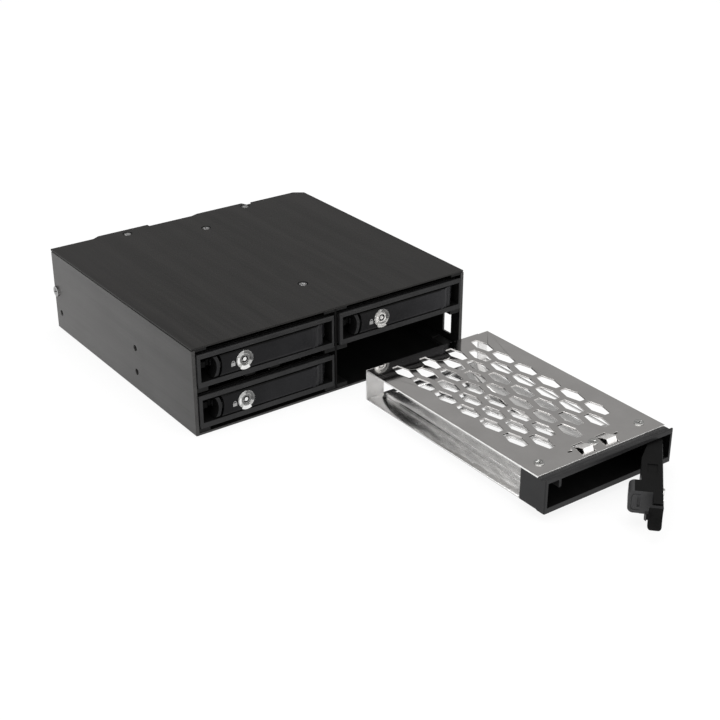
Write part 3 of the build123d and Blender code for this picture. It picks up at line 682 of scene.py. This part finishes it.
def makeContactRows():
    # on each vertex of the input mesh, a row of contact blades
    tree, given, end = newTree("contactRows", [
        ("Count", "Int", 7), ("Pitch", "Float", 0.00127), ("Blade", "Vector", (0.0007, 0.005, 0.0001)),
        ("Gold", "Material", None)])
    start = calc(tree, "MULTIPLY", calc(tree, "SUBTRACT", given["Count"], 1.0), given["Pitch"])
    first = addNode(tree, "ShaderNodeCombineXYZ", {"X": calc(tree, "MULTIPLY", start, -0.5)})
    step = addNode(tree, "ShaderNodeCombineXYZ", {"X": given["Pitch"]})
    line = addNode(tree, "GeometryNodeMeshLine", {
        "Count": given["Count"], "Start Location": first.outputs[0], "Offset": step.outputs[0]})
    blade = addNode(tree, "GeometryNodeMeshCube", {"Size": given["Blade"]})
    row = addNode(tree, "GeometryNodeInstanceOnPoints", {
        "Points": line.outputs[0], "Instance": blade.outputs[0]})
    rows = addNode(tree, "GeometryNodeInstanceOnPoints", {
        "Points": given["Geometry"], "Instance": row.outputs[0]})
    endTree(tree, rows.outputs[0], given["Gold"], end)
    return tree


trees = {"sheet": makePiercedSheet(), "screws": makeCrossHeads(), "contacts": makeContactRows()}
print("geometry trees built:", len(trees))


def vertexMesh(name, places):
    mesh = bpy.data.meshes.new(name)
    mesh.from_pydata([Vector(place) * mm for place in places], [], [])
    return mesh


def loopMesh(name, loops):
    points, edges = [], []
    for loop in loops:
        start = len(points)
        points += [(x * mm, y * mm, 0.0) for x, y in loop]
        edges += [(start + i, start + (i + 1) % len(loop)) for i in range(len(loop))]
    mesh = bpy.data.meshes.new(name)
    mesh.from_pydata(points, edges, [])
    return mesh


def rectangle(x, y):
    return [(x[0], y[0]), (x[1], y[0]), (x[1], y[1]), (x[0], y[1])]


def slotLoop(x, y, width, length, steps=8):
    # rounded slot that runs along y
    radius = width / 2
    reach = length / 2 - radius
    points = []
    for side, start in ((1, 0.0), (-1, math.pi)):
        for i in range(steps + 1):
            angle = start + math.pi * i / steps
            points.append((x + radius * math.cos(angle), y + side * reach + radius * math.sin(angle)))
    return points


def strip(loops, closed=True):
    # faces between equal loops, listed in order
    faces = []
    for lower, upper in zip(loops, loops[1:]):
        count = len(lower)
        for i in range(count if closed else count - 1):
            j = (i + 1) % count
            faces.append((lower[i], lower[j], upper[j], upper[i]))
    return faces


def addTo(obj, points, faces):
    mesh = bpy.data.meshes.new("part")
    mesh.from_pydata([Vector(point) * mm for point in points], [], faces)
    built = bmesh.new()
    built.from_mesh(obj.data)
    built.from_mesh(mesh)
    bmesh.ops.recalc_face_normals(built, faces=built.faces)
    built.to_mesh(obj.data)
    built.free()


# top plate: pierced sheet with the clip's openings and two folded tabs at the back
topPlate = {
    "half": 34.7, "length": 111.0, "top": 14.6, "thick": 0.7, "bend": 0.5,
    "tabs": ((-34.7, -25.4), (29.2, 34.7)),
    "midX": 1.0, "arch": (6.4, 5.6, (1.4, 9.8)), "endSlot": (12.6, 6.8, 1.0, 2.3),
}


def tabProfile():
    # (y, z) from the inner foot up, round the bend and down to the outer foot
    back, top = topPlate["length"], topPlate["top"]
    bend, thick = topPlate["bend"], topPlate["thick"]
    points = [(back - thick, 0.0), (back - thick, top - thick),
              (back - bend, top - thick), (back - bend, top)]
    for i in range(1, 7):
        angle = math.radians(90 - 15 * i)
        points.append((back - bend + bend * math.cos(angle), top - bend + bend * math.sin(angle)))
    return points + [(back, 0.0)]


def makeTopPlate(tray):
    half, back, bend = topPlate["half"], topPlate["length"], topPlate["bend"]
    (leftOut, leftIn), (rightIn, rightOut) = topPlate["tabs"]
    outline = [(-half, 0), (half, 0), (half, back - bend), (rightIn, back - bend), (rightIn, back),
               (leftIn, back), (leftIn, back - bend), (-half, back - bend)]
    loops = [outline]
    archX, archW, archY = topPlate["arch"]
    slotX, slotY, slotW, slotL = topPlate["endSlot"]
    for side in (-1, 1):
        middle = topPlate["midX"] + side * archX
        loops.append(rectangle((middle - archW / 2, middle + archW / 2), archY))
        turned = slotLoop(0, 0, slotW, slotL)
        loops.append([(topPlate["midX"] + side * slotX + y, slotY + x) for x, y in turned])
    values = {"Height": (topPlate["top"] - topPlate["thick"]) * mm, "Thickness": topPlate["thick"] * mm,
              "Sheet": finishes["sheetPolish"]}
    obj = grown(f"{tray}_pierced_top", trees["sheet"], loopMesh("outline", loops), values)
    profile = tabProfile()
    for x in topPlate["tabs"]:
        points = [(edge, y, z) for edge in x for y, z in profile]
        count = len(profile)
        faces = [(i, (i + 1) % count, count + (i + 1) % count, count + i) for i in range(count)]
        addTo(obj, points, faces + [tuple(range(count)), tuple(range(count, 2 * count))])
    addBevel(obj, 0.00012, 2, 40.0)
    finishMesh(obj)
    obj.data.transform(trayPlace(tray))
    paint(obj, "sheetPolish")
    repaint(obj, "sheetSatin", lambda at, normal: normal.z < -0.5 or at.z < 13.5, trayPlace(tray))
    # painted highlight on the plate's front and left cut edges and their top bevels
    repaint(obj, "edgeHighlight", lambda at, normal: at.z > 13.9 and -0.5 < normal.z < 0.96 and (
        at.y < 0.4 or at.x < -34.3), trayPlace(tray))
    # painted shade on the seated trays' front edge
    if not trays[tray][2]:
        repaint(obj, "springShade", lambda at, normal: at.y < 0.4 and normal.y < -0.1, trayPlace(tray))
    return settle(obj, tray, "polished_steel", f"{tray}_top_plate")


# floor plate: vents, side window, front tongue and two pressed ribs
floorPlate = {
    "half": 34.7, "front": 10.0, "back": 111.0, "thick": 0.7, "tongue": (25.0, 2.2), "columns": 3,
    "window": ((27.6, 33.9), (32.0, 107.0)), "ribX": 23.5, "ribY": (14.0, 108.5), "ribW": 5.8, "ribH": 1.1,
    "ribSkin": 0.5,
}


def ribLoop(x, inset):
    low, high = floorPlate["ribY"]
    return slotLoop(x, (low + high) / 2, floorPlate["ribW"] - 2 * inset, high - low - 2 * inset)


def ribPoints(x):
    # (inset, z) up the outside of the rib and down inside it, so that it is hollow below
    thick, height, skin = floorPlate["thick"], floorPlate["ribH"], floorPlate["ribSkin"]
    curve = [(0.95 * (1 - math.cos(math.pi * i / 16)) + 0.35 * i / 8,
              thick + height * math.sin(math.pi * i / 16))
             for i in range(9)]
    outer = [(0.0, 0.0)] + curve
    within = [(inset + skin, z - skin - 0.2) for inset, z in reversed(curve)] + [(skin, 0.0)]
    loops, points = [], []
    for inset, z in outer + within:
        loop = ribLoop(x, inset)
        loops.append(list(range(len(points), len(points) + len(loop))))
        points += [(px, py, z) for px, py in loop]
    top = len(outer)
    faces = strip(loops[:top]) + [tuple(loops[top - 1])]
    faces += strip(loops[top:] + [loops[0]]) + [tuple(loops[top])]
    return points, faces


def makeFloorPlate(tray):
    half, front, back = floorPlate["half"], floorPlate["front"], floorPlate["back"]
    wide, tip = floorPlate["tongue"]
    inner = back - topPlate["thick"]
    (leftOut, leftIn), (rightIn, rightOut) = topPlate["tabs"]
    outline = [(-wide, tip), (wide, tip), (wide, front), (half, front), (half, inner), (rightIn, inner),
               (rightIn, back), (leftIn, back), (leftIn, inner), (-half, inner), (-half, front),
               (-wide, front)]
    values = {"Columns": floorPlate["columns"], "Thickness": floorPlate["thick"] * mm,
              "Sheet": finishes["floorPolish"]}
    ribs = [ribLoop(side * floorPlate["ribX"], 0.0) for side in (-1, 1)]
    loops = loopMesh("outline", [outline, rectangle(*floorPlate["window"]), *ribs])
    obj = grown(f"{tray}_pierced_floor", trees["sheet"], loops, values)
    addBevel(obj, 0.00006, 2, 40.0)
    finishMesh(obj)
    for side in (-1, 1):
        addTo(obj, *ribPoints(side * floorPlate["ribX"]))
    for face in obj.data.polygons:
        face.use_smooth = True
    obj.data.transform(trayPlace(tray))
    paint(obj, "floorPolish")
    # painted shade on the underside of the tongue under the bezel
    repaint(obj, "shadeBlack", lambda at, normal: normal.z < -0.5 and at.y < 11.0, trayPlace(tray))
    return settle(obj, tray, "polished_steel", f"{tray}_floor_plate")


for tray in trays:
    makeTopPlate(tray)
    makeFloorPlate(tray)
print("tray sheets built")


# screws: pan heads on the trays and the side walls, countersunk ones in the cover
trayScrews = {
    "places": ((-27.3, 7.4, 14.6), (27.3, 7.4, 14.6), (1.0, 6.85, 14.6)),
    "Head Radius": 0.0021, "Foot Radius": 0.0021, "Head Height": 0.00045, "Shank Radius": 0.0011,
    "Shank Length": 0.0037, "Cross Length": 0.0028, "Cross Width": 0.0007, "Cross Depth": 0.00042, "Seed": 4,
}
coverScrews = {
    "places": ((-33.0, 134.6, 40.4), (35.6, 134.6, 40.4), (3.0, 30.8, 40.4), (3.0, 118.9, 40.4)),
    "Head Radius": 0.0018, "Foot Radius": 0.0013, "Head Height": 0.0007, "Shank Radius": 0.0012,
    "Shank Length": 0.0019, "Cross Length": 0.0021, "Cross Width": 0.0006, "Cross Depth": 0.0005, "Seed": 11,
}
sideScrews = {
    "places": ((-73.0, 134.5, 20.3), (73.0, 134.5, 20.3)),
    "Head Radius": 0.0026, "Foot Radius": 0.0026, "Head Height": 0.0009, "Shank Radius": 0.0013,
    "Shank Length": 0.004, "Cross Length": 0.0032, "Cross Width": 0.0006, "Cross Depth": 0.0006, "Seed": 2,
}


def makeScrews(name, spec, finish, places, aim):
    values = {label: value for label, value in spec.items() if label != "places"}
    values["Metal"] = finishes[finish]
    values["Aim"] = aim
    obj = grown(name, trees["screws"], vertexMesh(name, places), values, (0.0001, 2, 40.0))
    paint(obj, finish)
    return obj


def joined(name, parts):
    built = bmesh.new()
    for part in parts:
        built.from_mesh(part.data)
        bpy.data.objects.remove(part)
    mesh = bpy.data.meshes.new(name)
    built.to_mesh(mesh)
    built.free()
    obj = bpy.data.objects.new(name, mesh)
    scene.collection.objects.link(obj)
    return obj


upright = (0.0, 0.0, 0.0)
for tray in trays:
    obj = makeScrews(f"{tray}_cross_screws", trayScrews, "screwBright", trayScrews["places"], upright)
    obj.data.transform(trayPlace(tray))
    settle(obj, tray, "bright_screw", f"{tray}_screws")
settle(makeScrews("cover_cross_screws", coverScrews, "screwBlack", coverScrews["places"], upright),
       "cage", "black_screw", "cover_screws")
sides = [makeScrews(f"side_screw_{i}", sideScrews, "screwBlack", [place],
                    (0.0, math.copysign(math.pi / 2, place[0]), 0.0))
         for i, place in enumerate(sideScrews["places"])]
pair = joined("side_cross_screws", sides)
paint(pair, "screwBlack")
settle(pair, "cage", "black_screw", "side_screws")
print("screws built")


# gold contacts on the connectors' tongues
contacts = {
    "sockets": {"at": [(side * 36.25 - 8.0, 119.7, tier + 5.05) for side in (-1, 1) for tier in (3.8, 23.1)],
                "rows": ((15, -5.25), (7, 10.75)), "Blade": (0.0007, 0.0052, 0.0001)},
    "data": {"at": [(x, 133.2, 11.65) for x in (-56.0, -36.0, 36.0, 56.0)], "rows": ((7, 0.0),),
             "Blade": (0.0007, 0.006, 0.0001)},
    "power": {"at": [(x, 133.2, 29.65) for x in (-44.0, 44.0)], "rows": ((13, 0.0),),
              "Blade": (0.0008, 0.006, 0.0001)},
}


def makeContacts():
    parts = []
    for spec in contacts.values():
        for count, shift in spec["rows"]:
            places = vertexMesh("contact_rows", [(x + shift, y, z) for x, y, z in spec["at"]])
            values = {"Count": count, "Blade": spec["Blade"], "Gold": finishes["goldContact"]}
            parts.append(grown("contact_rows", trees["contacts"], places, values))
    obj = joined("gold_contacts", parts)
    paint(obj, "goldContact")
    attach(obj, "cage")


makeContacts()
print("contacts built")


# clear light guides with rounded ends, and the padlock sign printed beside each lock
lightGuide = {"places": (21.0, 27.6), "z": 7.6, "y": (8.0, 11.0), "width": 1.55, "height": 2.75}
padlock = {"x": -17.6, "z": 7.0, "body": (2.0, 1.6), "shackle": (0.75, 0.45), "face": -4.6, "proud": 0.02}


def makeLightGuides(tray):
    points, faces = [], []
    for x in lightGuide["places"]:
        loop = slotLoop(x, lightGuide["z"], lightGuide["width"], lightGuide["height"], 10)
        loops = []
        for y in lightGuide["y"]:
            loops.append(list(range(len(points), len(points) + len(loop))))
            points += [(px, y, pz) for px, pz in loop]
        faces += strip(loops) + [tuple(loops[0]), tuple(loops[1])]
    obj = bpy.data.objects.new(f"{tray}_oval_guides", bpy.data.meshes.new("guides"))
    scene.collection.objects.link(obj)
    addTo(obj, points, faces)
    addBevel(obj, 0.00015, 3, 40.0)
    finishMesh(obj)
    obj.data.transform(trayPlace(tray))
    paint(obj, "lightGuide")
    return settle(obj, tray, "clear_plastic", f"{tray}_light_guides")


def ringSector(centre, outer, inner, steps=14):
    arc = [math.pi * i / steps for i in range(steps + 1)]
    outside = [(centre[0] + outer * math.cos(a), centre[1] + outer * math.sin(a)) for a in arc]
    inside = [(centre[0] + inner * math.cos(a), centre[1] + inner * math.sin(a)) for a in reversed(arc)]
    return outside + inside


def makePadlock(tray):
    wide, tall = padlock["body"]
    outer, inner = padlock["shackle"]
    x, z = padlock["x"], padlock["z"]
    shapes = [rectangle((x - wide / 2, x + wide / 2), (z - tall, z)), ringSector((x, z + 0.15), outer, inner)]
    points, faces = [], []
    for shape in shapes:
        loops = []
        for y in (padlock["face"] - padlock["proud"], padlock["face"] + 0.05):
            loops.append(list(range(len(points), len(points) + len(shape))))
            points += [(px, y, pz) for px, pz in shape]
        faces += strip(loops) + [tuple(loops[0]), tuple(loops[1])]
    obj = bpy.data.objects.new(f"{tray}_padlock_sign", bpy.data.meshes.new("sign"))
    scene.collection.objects.link(obj)
    addTo(obj, points, faces)
    obj.data.transform(leverPlace(tray))
    paint(obj, "iconGrey")
    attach(obj, f"lever_{tray[-1]}")


for tray in trays:
    makeLightGuides(tray)
    makePadlock(tray)
print("light guides and padlock signs built")

# studio

studio = {
    "target": (2.44, -14.76, 20.65), "azimuth": -35.77, "elevation": 26.32, "distance": 608.76, "lens": 69.08,
    "floorSize": 8.0, "skyBack": 0.4, "skyTop": 1.1, "skyFront": 1.25,
}
lamps = {
    "top": {"place": (0.1, 0.1, 1.3), "size": 1.1, "power": 9.0},
    "left": {"place": (-1.3, -0.2, 0.7), "size": 1.0, "power": 9.0},
    "front": {"place": (0.3, -1.4, 0.6), "size": 0.9, "power": 5.0},
}


def lightPathFactor(tree, camera, glossy, transmission):
    path = tree.nodes.new("ShaderNodeLightPath")
    total = mathNode(tree, "MULTIPLY", path.outputs["Is Camera Ray"], camera)
    total = mathNode(tree, "ADD", total, mathNode(tree, "MULTIPLY", path.outputs["Is Glossy Ray"], glossy))
    through = mathNode(tree, "MULTIPLY", path.outputs["Is Transmission Ray"], transmission)
    return mathNode(tree, "ADD", total, through, True)


def makeFloor():
    mesh = bpy.data.meshes.new("floor")
    half = studio["floorSize"] / 2
    corners = [(-half, -half, 0), (half, -half, 0), (half, half, 0), (-half, half, 0)]
    mesh.from_pydata(corners, [], [(0, 1, 2, 3)])
    floor = bpy.data.objects.new("floor", mesh)
    scene.collection.objects.link(floor)
    material = bpy.data.materials.new("paleFloor")
    material.use_nodes = True
    tree = material.node_tree
    output = tree.nodes["Material Output"]
    diffuse = tree.nodes["Principled BSDF"]
    diffuse.inputs["Base Color"].default_value = (0.86, 0.86, 0.86, 1.0)
    diffuse.inputs["Roughness"].default_value = 0.9
    diffuse.inputs["Specular IOR Level"].default_value = 0.1
    glow = tree.nodes.new("ShaderNodeEmission")
    glow.inputs["Color"].default_value = (1.0, 1.0, 1.0, 1.0)
    mix = tree.nodes.new("ShaderNodeMixShader")
    tree.links.new(lightPathFactor(tree, 0.86, 0.9, 0.86), mix.inputs["Fac"])
    tree.links.new(diffuse.outputs["BSDF"], mix.inputs[1])
    tree.links.new(glow.outputs["Emission"], mix.inputs[2])
    tree.links.new(mix.outputs["Shader"], output.inputs["Surface"])
    floor.data.materials.append(material)


def makeSky():
    world = bpy.data.worlds.new("studio")
    scene.world = world
    world.use_nodes = True
    tree = world.node_tree
    plain = tree.nodes["Background"]
    coords = tree.nodes.new("ShaderNodeTexCoord")
    split = tree.nodes.new("ShaderNodeSeparateXYZ")
    tree.links.new(coords.outputs["Generated"], split.inputs["Vector"])
    above = mapRange(tree, split.outputs["Z"], 0.55, 0.95, studio["skyBack"], studio["skyTop"])
    ahead = mapRange(tree, mathNode(tree, "MULTIPLY", split.outputs["Y"], -1.0), 0.1, 0.6,
                     studio["skyBack"], studio["skyFront"])
    level = mathNode(tree, "MAXIMUM", above, ahead)
    tree.links.new(level, plain.inputs["Strength"])
    plain.inputs["Color"].default_value = (1.0, 0.995, 0.985, 1.0)
    white = tree.nodes.new("ShaderNodeBackground")
    white.inputs["Color"].default_value = (1.0, 1.0, 1.0, 1.0)
    mix = tree.nodes.new("ShaderNodeMixShader")
    tree.links.new(lightPathFactor(tree, 1.0, 0.0, 1.0), mix.inputs["Fac"])
    tree.links.new(plain.outputs["Background"], mix.inputs[1])
    tree.links.new(white.outputs["Background"], mix.inputs[2])
    tree.links.new(mix.outputs["Shader"], tree.nodes["World Output"].inputs["Surface"])


def makeLamps():
    for name, spec in lamps.items():
        light = bpy.data.lights.new(name, "AREA")
        light.size = spec["size"]
        light.energy = spec["power"]
        lamp = bpy.data.objects.new(name, light)
        place = Vector(spec["place"])
        aim = (Vector((0.0, 0.0, 0.02)) - place).to_track_quat("-Z", "Y")
        lamp.matrix_world = Matrix.Translation(place) @ aim.to_matrix().to_4x4()
        scene.collection.objects.link(lamp)


def makeCamera():
    camera = bpy.data.cameras.new("camera")
    camera.lens = studio["lens"]
    camera.sensor_width = 36.0
    obj = bpy.data.objects.new("camera", camera)
    azimuth, elevation = math.radians(studio["azimuth"]), math.radians(studio["elevation"])
    back = Vector((math.sin(azimuth) * math.cos(elevation), -math.cos(azimuth) * math.cos(elevation),
                   math.sin(elevation)))
    place = (Vector(studio["target"]) + back * studio["distance"]) * mm
    obj.matrix_world = Matrix.Translation(place) @ (-back).to_track_quat("-Z", "Y").to_matrix().to_4x4()
    scene.collection.objects.link(obj)
    scene.camera = obj


makeFloor()
makeSky()
makeLamps()
makeCamera()
scene.view_settings.view_transform = "Standard"
print("studio built")
